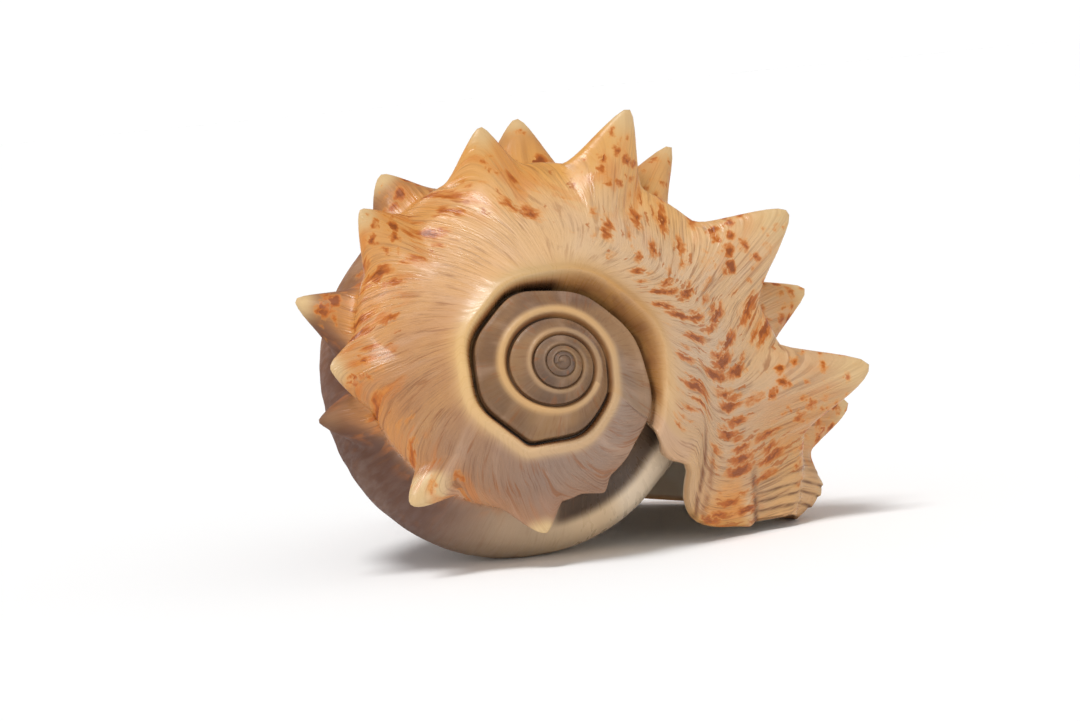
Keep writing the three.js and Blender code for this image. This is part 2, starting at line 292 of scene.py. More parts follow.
# Places that get a column of vertices. The spire's are a part of the body whorl's, which are finer.
SPIRE_STEPS = [1, 1, 2, 3, 4, 3, 5, 2]
FINER = [2, 2, 2, 2, 3, 3, 4, 4]
BASE_STEPS = [28, 12, 9, 8, 6, 4, 4, 3, 2]


def places_of(steps):
    ends = [i + k / n for i, n in enumerate(steps) for k in range(n)]
    return np.array(ends + [len(steps)], float)


spire_places = places_of(SPIRE_STEPS)
body_places = places_of([n * k for n, k in zip(SPIRE_STEPS, FINER)] + BASE_STEPS)
spire_last = len(spire_places) - 1
suture_column = int(np.argmin(np.abs(body_places - NEXT_SUTURE)))
last_column = len(body_places) - 1

# Growth angles of the rows: the same in every turn, and closer together by the lip
EVEN_ROWS = 312
CLOSE_ROWS = 28
CLOSE_ROWS_FROM = -14
turn_rows = np.concatenate([
    np.linspace(-TURN, CLOSE_ROWS_FROM, EVEN_ROWS, endpoint=False),
    np.linspace(CLOSE_ROWS_FROM, 0, CLOSE_ROWS, endpoint=False),
])
per_turn = len(turn_rows)
angles = np.concatenate([turn_rows + k * TURN for k in range(-math.ceil(TURNS) + 1, 1)] + [[0.0]])
angles = angles[angles >= -TURNS * TURN]
body_start = len(angles) - 1 - per_turn

spire_points, spire_profile, spire_tips = wall_points(angles[:body_start], spire_places)
body_points, body_profile, body_tips = wall_points(angles[body_start:], body_places)

# Vertices, each with its growth angle, its place, its nearness to a spine's tip, 1 in the hollow,
# and its way along the outline in millimetres
positions, growth, place_of, tips, hollow, across_mm = [], [], [], [], [], []


def add_points(points, angle, place, tip, inside, across):
    start = len(positions)
    positions.extend(points)
    for values, value in (
        (growth, angle),
        (place_of, place),
        (tips, tip),
        (hollow, inside),
        (across_mm, across),
    ):
        values.extend(np.broadcast_to(value, len(points)))
    return np.arange(start, start + len(points))


def add_on_axis(depth, angle, place, across):
    """One vertex on the shell's axis."""
    return add_points(on_axis(np.zeros(1), depth, np.zeros(1)), angle, place, 0, 0, across)[0]


def run_length(profile):
    steps = np.linalg.norm(np.diff(profile, axis=0), axis=1)
    return np.concatenate([[0], np.cumsum(steps)])


CANAL_TIP_ACROSS = 160
APEX_DEPTH = 0.25
APEX_PLACE = 6
canal_tip = add_on_axis(SHELL_LENGTH, 0, LAST_POINT, CANAL_TIP_ACROSS)
apex = add_on_axis(APEX_DEPTH, angles[0] - TURN, APEX_PLACE, 0)
grid = []
for i, angle in enumerate(angles):
    row_in_spire = i < body_start
    k = i if row_in_spire else i - body_start
    points = spire_points[k] if row_in_spire else body_points[k]
    places = spire_places if row_in_spire else body_places
    tip = spire_tips[k] if row_in_spire else body_tips[k]
    across = run_length(spire_profile[k] if row_in_spire else body_profile[k])
    first = 0 if i < per_turn else 1
    last = len(points) if row_in_spire else len(points) - 1
    own = slice(first, last)
    row = list(add_points(points[own], angle, places[own], tip[own], 0, across[own]))
    if first:
        inner = grid[i - per_turn]
        row.insert(0, inner[spire_last] if i - per_turn < body_start else inner[suture_column])
    if not row_in_spire:
        row.append(canal_tip)
    grid.append(row)

faces = []


def add_strip(a, b):
    """Faces between two lines of vertices of the same length."""
    for j in range(len(a) - 1):
        ring = [a[j], b[j], b[j + 1], a[j + 1]]
        face = [v for n, v in enumerate(ring) if v != ring[n - 1]]
        if len(face) > 2:
            faces.append(face)


for i in range(len(angles) - 1):
    if i != body_start - 1:
        add_strip(grid[i], grid[i + 1])
        continue
    fine = 0
    for j, factor in enumerate(np.repeat(FINER, SPIRE_STEPS)):
        beyond = grid[i + 1][fine:fine + factor + 1]
        faces.append([grid[i][j], *beyond, grid[i][j + 1]])
        fine += factor
for i in range(per_turn):
    faces.append([apex, grid[i + 1][0], grid[i][0]])
for j in range(spire_last):
    faces.append([apex, grid[0][j], grid[0][j + 1]])

# The hollow behind the lip: rings along the inside of the wall and back up the columella
CORNER_PLACE = 8.4
UNDER_SHOULDER = SHOULDER_POINT + 0.5
HOLLOW_MOUTH_DEPTH = SHELL_LENGTH - 2.5
HOLLOW_END_DEPTH = 62.0
HOLLOW_END_PLACE = 9
LIP_THINNING = 35.0
WALL_THICKENS = 30
SHOULDER_WALL = 1.4
ROOF_ARCH = 2
FLOOR_SAG = 2
COLUMELLA_GAP = 0.3
FLOOR_POINTS = 7
CAVITY_ROWS = 36
READINGS = 600


def place_at_depth(points, depth, start):
    places = np.linspace(start, LAST_POINT, READINGS)
    return float(np.interp(depth, along(points, places)[0, :, 1], places))


def inset(points, places, wall):
    step = 0.02
    before = along(points, np.maximum(0, places - step))[0]
    after = along(points, np.minimum(LAST_POINT, places + step))[0]
    slope = after - before
    slope /= np.maximum(np.linalg.norm(slope, axis=1, keepdims=True), 1e-9)
    middle = along(points, places)[0]
    return np.stack([middle[:, 0] - slope[:, 1] * wall, middle[:, 1] + slope[:, 0] * wall], axis=1)


def lowered(amount):
    """Steps along the axis alone, by the given amounts."""
    return np.stack([0 * amount, amount], axis=1)


def cavity_ring(back):
    """One ring of the hollow, this many degrees back from the lip: points and places."""
    angle = np.array([-back])
    points, within = outline(angle), outline(angle - TURN)
    thickened = float(smoothstep(back, 0, WALL_THICKENS))
    wall = lerp(LIP_EDGE, WALL, thickened)
    end_depth = lerp(HOLLOW_MOUTH_DEPTH, HOLLOW_END_DEPTH, (back / CAVITY_SWEEP) ** 0.8)
    wall_end = place_at_depth(points, end_depth, SHOULDER_POINT)
    columella_end = place_at_depth(within, end_depth, NEXT_SUTURE)

    corner = along(within, np.array([CORNER_PLACE]))[0, 0]
    under = inset(points, np.array([UNDER_SHOULDER]), SHOULDER_WALL * wall)[0]
    outer = body_places[:last_column]
    upper = outer[outer < SHOULDER_POINT]
    reach = (along(points, upper)[0, :, 0] - corner[0]) / (under[0] - corner[0])
    farthest = 1 - 0.01 * np.arange(len(upper))[::-1]
    reach = np.clip(np.maximum(reach, 0.02 * upper), 0, farthest)
    roof = lerp(corner, under, reach[:, None]) - lowered(ROOF_ARCH * np.sin(np.pi * reach))
    thin = (1 - smoothstep(back, 0, LIP_THINNING)) * smoothstep(upper, 3.6, 4.6)
    roof = lerp(roof, inset(points, upper, wall), thin[:, None])

    share = (outer[outer >= SHOULDER_POINT] - SHOULDER_POINT) / (LAST_POINT - SHOULDER_POINT)
    side = inset(points, lerp(UNDER_SHOULDER, wall_end, share), wall)
    core = along(within, np.linspace(NEXT_SUTURE, LAST_POINT, READINGS))[0]
    side[:, 0] = np.maximum(side[:, 0], np.interp(side[:, 1], core[:, 1], core[:, 0]) + COLUMELLA_GAP)

    pillar_places = body_places[last_column:suture_column:-1]
    share = (pillar_places - NEXT_SUTURE) / (LAST_POINT - NEXT_SUTURE)
    pillar = along(within, lerp(CORNER_PLACE, columella_end, share))[0]
    share = np.arange(1, FLOOR_POINTS + 1) / (FLOOR_POINTS + 1)
    foot = lerp(side[-1], pillar[0], share[:, None])
    foot = foot + lowered(FLOOR_SAG * thickened * np.sin(np.pi * share))

    profile = np.concatenate([roof, side, foot, pillar])
    places = np.concatenate([outer, lerp(outer[-1], LAST_POINT, share), pillar_places])
    return on_axis(profile[:, 0], profile[:, 1], bearing(angle, places)), places


# The rounded edge of the lip: share of the way in, and how far it swells forwards
LIP_ROUNDING = [(0.2, 0.12), (0.5, 0.18), (0.8, 0.12)]
LIP_SWELLS_UP_TO = 2.2
LIP_ROUNDING_ANGLE = 2.0

ring = list(grid[-1][:last_column]) + [canal_tip] * FLOOR_POINTS
ring += list(grid[body_start][last_column:suture_column:-1])
on_lip = np.arange(len(ring)) < last_column
inner_edge, edge_places = cavity_ring(0.0)
margin = np.array([positions[v] for v in ring])
forward = np.cross(np.array([0.0, 1.0, 0.0]), margin)
forward /= np.maximum(np.linalg.norm(forward, axis=1, keepdims=True), 1e-6)
thickness = np.linalg.norm(inner_edge - margin, axis=1, keepdims=True) * on_lip[:, None]
for share, swell in LIP_ROUNDING:
    rounded = lerp(margin, inner_edge, share) + forward * np.minimum(thickness, LIP_SWELLS_UP_TO) * swell
    nxt = list(add_points(rounded, LIP_ROUNDING_ANGLE, edge_places, 0, share * 0.9, 0.0))
    add_strip(ring + ring[:1], nxt + nxt[:1])
    ring = nxt
for k in range(CAVITY_ROWS + 1):
    back = CAVITY_SWEEP * (k / CAVITY_ROWS) ** 1.5
    points, places = cavity_ring(back)
    nxt = list(add_points(points, -back, places, 0, 1, run_length(points)))
    add_strip(ring + ring[:1], nxt + nxt[:1])
    ring = nxt
end_point = np.mean([positions[v] for v in ring], axis=0)
hollow_end = add_points(end_point[None], -CAVITY_SWEEP, HOLLOW_END_PLACE, 0, 1, 0)[0]
for j in range(len(ring)):
    faces.append([ring[j], hollow_end, ring[(j + 1) % len(ring)]])

# From the shell's own axis to the frame of the part
tilted = Vector((
    math.sin(AXIS_TILT) * math.cos(AXIS_TILT_BEARING),
    -math.cos(AXIS_TILT),
    math.sin(AXIS_TILT) * math.sin(AXIS_TILT_BEARING),
))
view_turn = Matrix.Rotation(-PITCH, 3, "X") @ Matrix.Rotation(ROLL, 3, "Y")
laid = np.array(view_turn @ Vector((0, -1, 0)).rotation_difference(tilted).to_matrix())
positions = np.array(positions) @ laid.T + APEX
growth, place_of, tips = np.array(growth), np.array(place_of), np.array(tips)
hollow, across_mm = np.array(hollow), np.array(across_mm)

mesh = bpy.data.meshes.new("shell_surface")
mesh.from_pydata((positions * MM).tolist(), [], faces)
mesh.update()

# Where each vertex is
in_spire = growth < -TURN
on_body = ~in_spire
outside = 1 - hollow


def by_growth(pairs):
    """Values read off a list of growth angles and values."""
    return np.interp(growth, *zip(*pairs))


# Growth lines: how far each point has grown, with the lines leaning back early on and bulging by the lip
LINE_SHAPE = [
    (0, 0), (RIM_CREST, 2), (RAMP_START, 6), (4.4, 11.5), (4.75, 14.5), (5.2, 13), (6, 7.5),
    (SHOULDER_POINT, 2), (NEXT_SUTURE, 0),
]
EARLY_LEAN = 28
arc = np.concatenate([[0], np.cumsum(np.radians(np.diff(angles)) * shoulder_radius(angles[1:]))])
grown_mm = np.interp(growth, angles, arc)
early = 1 - smoothstep(growth, -150, -85)
lean = EARLY_LEAN * np.clip((place_of - 3.5) / 3.5, 0, 1) * early * (growth > -TURN)
bulging = np.clip(smoothstep(growth, -120, -60) - 0.75 * smoothstep(growth, -LIP_REACH, 0), 0, 1)
lean = lean - curve_through(LINE_SHAPE)(np.minimum(place_of, NEXT_SUTURE)) * bulging
flow_x = grown_mm + np.radians(lean) * shoulder_radius(growth)

# Growth ridges: height and spacing in millimetres
RIDGES = [(0.07, 1.6), (0.1, 4.2), (0.16, 11.0)]
FULL_RIDGES_RADIUS = 30


def wavy(x, spacing):
    """A smooth random line with one knot every spacing."""
    span = x.max() - x.min()
    knots = rng.uniform(-1, 1, int(span / spacing) + 4)
    t = (x - x.min()) / spacing
    i = t.astype(int)
    f = t - i
    f = f * f * (3 - 2 * f)
    return knots[i] * (1 - f) + knots[i + 1] * f


ridge = sum(height * wavy(flow_x, spacing) for height, spacing in RIDGES)
ridge *= window(place_of, (3.4, 4.6), (13, 16))
ridge *= np.clip(shoulder_radius(growth) / FULL_RIDGES_RADIUS, 0.15, 1)
callus = smoothstep(-growth, 285, 320) * (growth > -TURN - 60) * smoothstep(place_of, 7.7, 8.3)

# By the lip: a crease down the outside, a ridge beside it, and the edges of the last lamellae
CREASE = [(-17, 5.68), (-11.5, 5.72), (-8, 5.78), (-5, 5.86), (0, 6.0)]
LAMELLA_EDGES = [-12, -9.4, -7, -5, -2.7, 0.5]
LAMELLA_HEIGHT = 0.45
CREASE_DEPTH = 0.35
CREASE_WIDTH = 0.06
CREASE_RIDGE_HEIGHT = 0.5
CREASE_RIDGE_AWAY = 0.14
CREASE_RIDGE_WIDTH = 0.08
STEP_BEYOND_CREASE = 0.7
past_crease = place_of - by_growth(CREASE)
near_lip = smoothstep(growth, -16, -10) * outside * (growth > -20)
beyond_crease = smoothstep(past_crease, -0.02, 0.08) * (1 - smoothstep(place_of, 6.9, 7.6))
crease_line = np.exp(-((past_crease / CREASE_WIDTH) ** 2)) * near_lip
crease_ridge = np.exp(-(((past_crease + CREASE_RIDGE_AWAY) / CREASE_RIDGE_WIDTH) ** 2))
crease_ridge = crease_ridge * smoothstep(growth, -12, -6) * near_lip
lamella = smoothstep(growth, -11, -7) * smoothstep(past_crease, 0.02, 0.12) * outside
lamella *= (1 - smoothstep(place_of, 9, 10)) * (growth > -20)
lamella_count = np.interp(growth, LAMELLA_EDGES, np.arange(len(LAMELLA_EDGES)))

# All of them are pushed out along the surface's normals
lift = ridge * outside * (1 - callus)
lift += LAMELLA_HEIGHT * lamella * (lamella_count % 1.0 - 0.5)
lift += CREASE_RIDGE_HEIGHT * crease_ridge
lift -= STEP_BEYOND_CREASE * beyond_crease * near_lip
lift -= CREASE_DEPTH * crease_line
normals = np.empty(len(positions) * 3)
mesh.vertices.foreach_get("normal", normals)
positions += normals.reshape(-1, 3) * lift[:, None]
positions[:, 2] = np.maximum(positions[:, 2], 0)
mesh.vertices.foreach_set("co", (positions * MM).ravel())
mesh.update()
mesh.polygons.foreach_set("use_smooth", np.ones(len(mesh.polygons), bool))

# Ground colours of the surface, by growth angle, as display values from 0 to 255
RAMP_TONES = [
    (-345, (150, 124, 106)), (-290, (146, 120, 104)), (-250, (152, 116, 92)), (-215, (168, 120, 80)),
    (-180, (192, 142, 98)), (-140, (214, 166, 114)), (-100, (214, 178, 136)), (-60, (206, 174, 140)),
    (-25, (196, 164, 132)), (0, (198, 152, 108)),
]
SHOULDER_TONES = [
    (-345, (150, 120, 100)), (-290, (156, 118, 92)), (-250, (170, 114, 72)), (-180, (206, 140, 74)),
    (-100, (214, 155, 80)), (-50, (212, 174, 130)), (-25, (192, 152, 108)), (0, (198, 150, 98)),
]
BELLY_TONES = [
    (-330, (214, 188, 156)), (-300, (198, 174, 144)), (-275, (172, 146, 120)), (-250, (106, 78, 66)),
    (-215, (96, 62, 46)), (-170, (120, 74, 48)), (-110, (190, 134, 78)), (0, (190, 142, 94)),
]
SPIRE_TONES = [
    (-1900, (100, 82, 72)), (-1080, (110, 86, 68)), (-720, (112, 84, 64)), (-640, (124, 98, 76)),
    (-560, (120, 88, 60)), (-470, (108, 82, 66)), (-360, (146, 120, 98)),
]
RIM_TONES = [
    (-720, (200, 164, 122)), (-560, (202, 160, 106)), (-360, (196, 160, 118)), (-290, (200, 164, 124)),
    (-200, (216, 178, 122)), (-112, (192, 156, 108)), (-64, (178, 134, 86)), (-35, (206, 168, 122)),
    (0, (218, 184, 140)),
]
PALE = (208, 176, 128)
CALLUS = (216, 188, 152)
PORCELAIN_AND_PAINTED_LIGHT = (244, 228, 206)
LIP_BAND = (200, 162, 120)
LIP_ORANGE = (216, 142, 68)
LIP_EDGE_TONE = (196, 146, 76)
BROWN = (146, 96, 56)
# Near-black for painted shadow: in the channel's floor and under the oldest shoulder
PAINTED_SHADOW = (34, 20, 12)
ARCH = (198, 160, 126)

# The brown line beside the lip's margin: growth angle and place
LIP_SIDE = [(-18, 4.6), (-14.8, 4.66), (-11, 4.74), (-8, 4.77), (-5, 4.82), (-3, 4.86), (0, 4.98)]


def linear(colour):
    c = np.asarray(colour, float) / 255
    return np.where(c <= 0.04045, c / 12.92, ((c + 0.055) / 1.055) ** 2.4)


def tones(pairs):
    return np.stack([by_growth([(at, tone[k]) for at, tone in pairs]) for k in range(3)], axis=1)


def blend(a, b, t):
    return a + (np.asarray(b, float) - a) * np.asarray(t)[:, None]


# Spire, ramp, shoulder and belly
belly = smoothstep(place_of, 7.5, 8.4) * on_body
ground = np.where(in_spire[:, None], tones(SPIRE_TONES), tones(RAMP_TONES))
ground = blend(ground, tones(SHOULDER_TONES), smoothstep(place_of, 4.9, 6.8) * on_body)
ground = blend(ground, tones(BELLY_TONES), belly)

# The pale rim, the channel beside it browner, and painted shadow near-black in the channel's floor,
# widest at the top; all fainter on older whorls
faded = np.where(growth > -TURN, 1.0, np.where(growth > -2 * TURN, 0.92, 0.55))
faded = faded - 0.45 * smoothstep(-growth, 980, 1150)
rim = window(place_of, (2.2, 2.8), (3.7, 4.4))
opened = window(growth, (-108, -84), (-18, -6)) * on_body
# Where the painted shadow in the channel is widest, at the top
deep_channel_shadow = window(growth, (-165, -140), (-112, -94)) * on_body
ground = blend(ground, tones(RIM_TONES), rim * faded)
ground = blend(ground, BROWN, (1 - smoothstep(place_of, 2.0, 2.8 + 0.5 * opened)) * faded)
# Painted shadow: near-black in the floor of the suture's channel, where shade falls
ground = blend(ground, PAINTED_SHADOW, (1 - smoothstep(place_of, 1.0 + 0.5 * deep_channel_shadow, 1.9 + 0.7 * deep_channel_shadow)) * faded)

# Worn spine tips, one of them a pale knob, and the callus, with painted light on it in the shade under
# the lip's arch
knob = window(-growth, (230, 238), (254, 264)) * (place_of < 8)
worn = smoothstep(tips, 0.55 - 0.35 * knob, 0.9 - 0.5 * knob)
worn *= 1 - 0.8 * smoothstep(place_of, 7.6, 8.0) * smoothstep(-growth, 195, 205)
ground = blend(ground, PALE, worn)
ground = blend(ground, CALLUS, callus)
# Painted light: the callus in the shade under the lip's arch is lightened towards porcelain
ground = blend(ground, PORCELAIN_AND_PAINTED_LIGHT, 0.6 * callus * smoothstep(-growth, 318, 332) * on_body)

# The lip: a band along its margin, the arch, the orange middle, the crease, the edge and the lamellae
outer_body = outside * on_body
past_side = place_of - by_growth(LIP_SIDE)
margin_band = (1 - smoothstep(past_side, -0.08, -0.03)) * smoothstep(growth, -17, -9) * outer_body
ground = blend(ground, LIP_BAND, 0.9 * margin_band)
within_arch = smoothstep(growth, -9, -6) * (1 - smoothstep(place_of, 4.4, 4.5)) * outer_body
ground = blend(ground, ARCH, within_arch)
by_lip = smoothstep(growth, -15, -7) * outer_body
lip_middle = smoothstep(place_of, 5.0, 5.25) * (1 - smoothstep(past_crease, -0.3, -0.15))
ground = blend(ground, LIP_ORANGE, 0.85 * lip_middle * by_lip)
ground = blend(ground, CALLUS, 0.7 * crease_ridge)
edge = smoothstep(growth, -2.6, -0.6) * window(place_of, (4.8, 5.0), (5.7, 5.9)) * on_body
ground = blend(ground, LIP_EDGE_TONE, 0.8 * edge * (1 - smoothstep(hollow, 0.5, 1)))
ground = blend(ground, LIP_BAND, 0.5 * lamella)

# Painted shadow under the edge of the oldest shoulder, and porcelain inside
shadow_under_edge = window(place_of, (7.05, 7.25), (8.4, 8.65)) * smoothstep(-growth, 294, 300) * on_body
# Painted shadow: a dark line where shade falls under the overhanging edge of the oldest shoulder
ground = blend(ground, PAINTED_SHADOW, 0.8 * shadow_under_edge)
ground = blend(ground, PORCELAIN_AND_PAINTED_LIGHT, smoothstep(hollow, 0.5, 1))

# How much of each marking there is, by growth angle
FLECKS_FROM_PLACE = [(-240, 5.2), (-170, 5.0), (-130, 4.9), (-100, 4.5), (-75, 3.9), (-50, 3.6)]
FLECKS = [
    (-320, 0), (-270, 0.25), (-225, 0.75), (-190, 0.95), (-140, 0.85), (-90, 0.8), (-60, 0.9), (0, 1.05),
]
STREAKS = [(-360, 0.9), (-240, 0.9), (-150, 0.6), (-100, 0.45), (-60, 0.8), (0, 0.9)]
PATCHES = [
    (-310, 0.05), (-275, 0.25), (-250, 0.85), (-200, 1.4), (-130, 0.9), (-80, 0.6), (-40, 0.25), (0, 0.5),
]
# Spines with more flecks at their foot: growth angle and place
SPECKLED_SPINES = [(-181, 7.9), (-199, 6.5), (-157, 6.4), (-145, 7.8)]

plain_belly = belly * smoothstep(-growth, 150, 200)
fleck_from = by_growth(FLECKS_FROM_PLACE)
fleck = smoothstep(place_of, fleck_from, fleck_from + 0.7)
fleck *= by_growth(FLECKS)
fleck *= 1 - 0.9 * smoothstep(growth, -14, -7) * (1 - smoothstep(place_of, 5.0, 5.3))
fleck *= 1 - 0.75 * lamella
fleck *= on_body * (1 - callus) * outside
fleck *= 1 - smoothstep(tips, 0.62, 0.9) * (1 - 0.55 * smoothstep(growth, -75, -62))
fleck *= 1 - 0.9 * smoothstep(place_of, 8.2, 8.9) * smoothstep(-growth, 60, 120)
fleck *= 1 - 0.8 * smoothstep(place_of, 7.6, 8.2) * smoothstep(-growth, 185, 205)

spine_height = spine_heights(growth, place_of, *UPPER_ROW)[0]
spine_height += spine_heights(growth, place_of, *LOWER_ROW)[0]
on_spine = smoothstep(spine_height, 1.0, 3.0) * outer_body
spine_fleck = fleck * on_spine
for at, row in SPECKLED_SPINES:
    near = ((growth - at) / 3.5) ** 2 + ((place_of - row) / 0.35) ** 2
    spine_fleck = spine_fleck + 0.6 * np.exp(-near) * outside
spine_fleck = spine_fleck * (1 + 0.25 * smoothstep(place_of, 7.4, 7.8) * smoothstep(growth, -75, -62))
fleck = fleck * (1 - on_spine)

streak = np.where(in_spire, 0.6, by_growth(STREAKS))
streak = streak * smoothstep(place_of, 3.6, 4.6) * (1 - callus) * outside
streak = streak * (1 - 0.65 * plain_belly) * (1 - 0.3 * belly)
streak = streak * (1 - 0.7 * smoothstep(tips, 0.25, 0.65))
wall_streak = opened * window(place_of, (1.0, 1.6), (3.2, 4.0))
patch = window(place_of, (4.9, 6.0), (7.8, 8.6)) * (1 - callus) * outer_body
patch *= by_growth(PATCHES)
patch *= 1 - smoothstep(tips, 0.55, 0.85)
warm = (1 - plain_belly) * (1 - 0.75 * smoothstep(-growth, 215, 270) * on_body)
relief = smoothstep(place_of, 3.9, 4.8) * (1 - callus) * outside
relief = relief * np.where(in_spire, 0.35, 1.0) * (1 - 0.6 * plain_belly)
polish = np.where(in_spire, 0.5, 1.0) * (1 - 0.8 * belly * (1 - callus)) * (1 - 0.5 * hollow)


def store(name, kind, field, values):
    layer = mesh.attributes.new(name, kind, "POINT")
    layer.data.foreach_set(field, np.ascontiguousarray(values, dtype=np.float32).ravel())


store("flow", "FLOAT_VECTOR", "vector", np.stack([flow_x, across_mm, np.zeros_like(flow_x)], axis=1))
store("lip_lines", "FLOAT_VECTOR", "vector", np.stack([past_side, past_crease, lamella_count], axis=1))
store("ground", "FLOAT_COLOR", "color", np.insert(linear(ground), 3, 1.0, axis=1))
for name, values in (
    ("lip_side", smoothstep(growth, -18, -13) * outer_body),
    ("crease", near_lip * smoothstep(growth, -16, -12)),
    ("lamella", lamella),
    ("warm", warm),
    ("fleck", fleck),
    ("spine_fleck", spine_fleck),
    ("streak", streak),
    ("wall_streak", wall_streak),
    ("patch", patch),
    ("relief", relief),
    ("polish", polish),
):
    store(name, "FLOAT", "value", values)


# Nodes that the materials share
def new_material(name):
    material = bpy.data.materials.new(name)
    material.use_nodes = True
    tree = material.node_tree
    return material, tree, tree.nodes["Principled BSDF"]


def add_node(tree, kind, inputs=None, **settings):
    node = tree.nodes.new(kind)
    for key, value in settings.items():
        setattr(node, key, value)
    for key, value in (inputs or {}).items():
        if isinstance(value, bpy.types.NodeSocket):
            tree.links.new(value, node.inputs[key])
        else:
            node.inputs[key].default_value = value
    return node


def attribute(tree, name, output="Fac"):
    return add_node(tree, "ShaderNodeAttribute", attribute_name=name).outputs[output]


def vector_math(tree, operation, a, b):
    return add_node(tree, "ShaderNodeVectorMath", {0: a, 1: b}, operation=operation).outputs[0]


def noise(tree, vector, size, detail, distortion):
    """Noise in millimetres along and across the growth of the shell."""
    scaled = vector_math(tree, "MULTIPLY", vector, (1 / size[0], 1 / size[1], 1.0))
    made = add_node(
        tree,
        "ShaderNodeTexNoise",
        {"Vector": scaled, "Scale": 1.0, "Detail": detail, "Distortion": distortion},
    )
    return made.outputs["Fac"]


def sharpen(tree, value, low, high, to_low=0.0, to_high=1.0):
    made = add_node(
        tree,
        "ShaderNodeMapRange",
        {"Value": value, "From Min": low, "From Max": high, "To Min": to_low, "To Max": to_high},
        interpolation_type="SMOOTHSTEP",
    )
    return made.outputs["Result"]


def combine(tree, operation, a, b):
    return add_node(tree, "ShaderNodeMath", {0: a, 1: b}, operation=operation).outputs[0]


def mixed(tree, factor, a, b):
    return add_node(tree, "ShaderNodeMix", {0: factor, 6: a, 7: b}, data_type="RGBA").outputs[2]


def colour(display):
    return (*linear(display), 1.0)


# Markings: size along and across the growth in millimetres, detail, distortion,
# the noise at which they start and are full, and what these become if not 0 and 1
BLOTCH = (14, 11), 2, 0.0, 0.35, 0.65
PALE_STREAK = (5, 16), 3, 0.0, 0.5, 0.72
LINE_GAPS = (4, 6), 3, 0.0, 0.42, 0.6
FINE_LINE = (0.4, 10), 4, 0.4, 0.48, 0.66
COARSE_LINE = (1.0, 8), 3, 0.5, 0.56, 0.68
CHANNEL_STREAK = (11, 2.4), 3, 0.6, 0.38, 0.68
RUST = (3.2, 7), 4, 0.7, 0.5, 0.64
LIP_LINE_GAPS = (1.6, 2.5), 3, 0.0, 0.3, 0.62, 0.2, 0.9
ROUGHNESS = (1.2, 6), 3, 0.0, 0.35, 0.65, 0.2, 0.5
RELIEF = (0.55, 7), 3, 0.0

# Flecks: size of their cells in millimetres, reach, spread of reach, wobble, and dimensions
LARGE_FLECKS = (2.9, 6.4, 1), 0.52, 0.44, 3.4, "2D"
SPINE_FLECKS = (2.3, 2.3, 2.8), 0.54, 0.38, 2.6, "3D"
SMALL_FLECKS = (1.1, 4.2, 1), 0.4, 0.64, 2.0, "2D"

# Colours of the markings
BLOTCH_TONE = (214, 162, 98)
PALE_STREAK_TONE = (206, 172, 146)
FINE_LINE_TONE = (116, 74, 46)
COARSE_LINE_TONE = (142, 88, 48)
CHANNEL_TONE = (190, 140, 80)
RUST_TONE = (198, 114, 38)
HALO_TONE = (216, 144, 64)
SMALL_FLECK_TONE = (172, 94, 28)
FLECK_TONE = (178, 92, 20)
FLECK_HEART_TONE = (124, 58, 12)
SIDE_LINE_TONE = (118, 68, 30)
SECOND_LINE_TONE = (140, 80, 34)
CREASE_TONE = (112, 68, 36)
LAMELLA_TONE = (104, 66, 36)

SECOND_LINE_AWAY = 0.18
SPECULAR = 0.33
COAT = 0.15
COAT_ROUGHNESS = 0.2
DULL = 0.5
RELIEF_STRENGTH = 0.65
RELIEF_DEPTH = 0.0004

# The shell's material
shell_material, tree, surface = new_material("shell_surface")
where = attribute(tree, "flow", "Vector")
in_space = add_node(tree, "ShaderNodeTexCoord").outputs["Object"]
in_space = vector_math(tree, "MULTIPLY", in_space, (1 / MM, 1 / MM, 1 / MM))


def times(a, b):
    return combine(tree, "MULTIPLY", a, b)


def marking(size, detail, distortion, *slope):
    return sharpen(tree, noise(tree, where, size, detail, distortion), *slope)


def spots(vector, amount, size, reach, spread, wobble, dimensions):
    """Spots of random size in cells of the given size, none where their amount is 0."""
    bent = add_node(tree, "ShaderNodeTexNoise", {"Vector": vector, "Scale": 0.8, "Detail": 4.0})
    moved = vector_math(tree, "MULTIPLY", bent.outputs["Color"], (wobble, wobble, wobble))
    place = vector_math(tree, "ADD", vector, moved)
    cells = vector_math(tree, "MULTIPLY", place, tuple(1 / length for length in size))
    made = add_node(
        tree,
        "ShaderNodeTexVoronoi",
        {"Vector": cells, "Scale": 1.0},
        voronoi_dimensions=dimensions,
    )
    chance = add_node(tree, "ShaderNodeSeparateColor", {0: made.outputs["Color"]}).outputs[0]
    room = combine(tree, "SUBTRACT", times(amount, reach), times(chance, spread))
    room = combine(tree, "ADD", room, sharpen(tree, amount, 0.0, 0.25, -0.4, 0.0))
    return combine(tree, "SUBTRACT", room, made.outputs["Distance"])


paint = attribute(tree, "ground", "Color")
streak_amount = attribute(tree, "streak")
for shape, amount, strength, tone in (
    (BLOTCH, attribute(tree, "warm"), 0.25, BLOTCH_TONE),
    (PALE_STREAK, streak_amount, 0.4, PALE_STREAK_TONE),
    (FINE_LINE, times(streak_amount, marking(*LINE_GAPS)), 0.6, FINE_LINE_TONE),
    (COARSE_LINE, streak_amount, 0.75, COARSE_LINE_TONE),
    (CHANNEL_STREAK, attribute(tree, "wall_streak"), 0.6, CHANNEL_TONE),
    (RUST, attribute(tree, "patch"), 0.6, RUST_TONE),
):
    cover = times(times(marking(*shape), amount), strength)
    paint = mixed(tree, cover, paint, colour(tone))

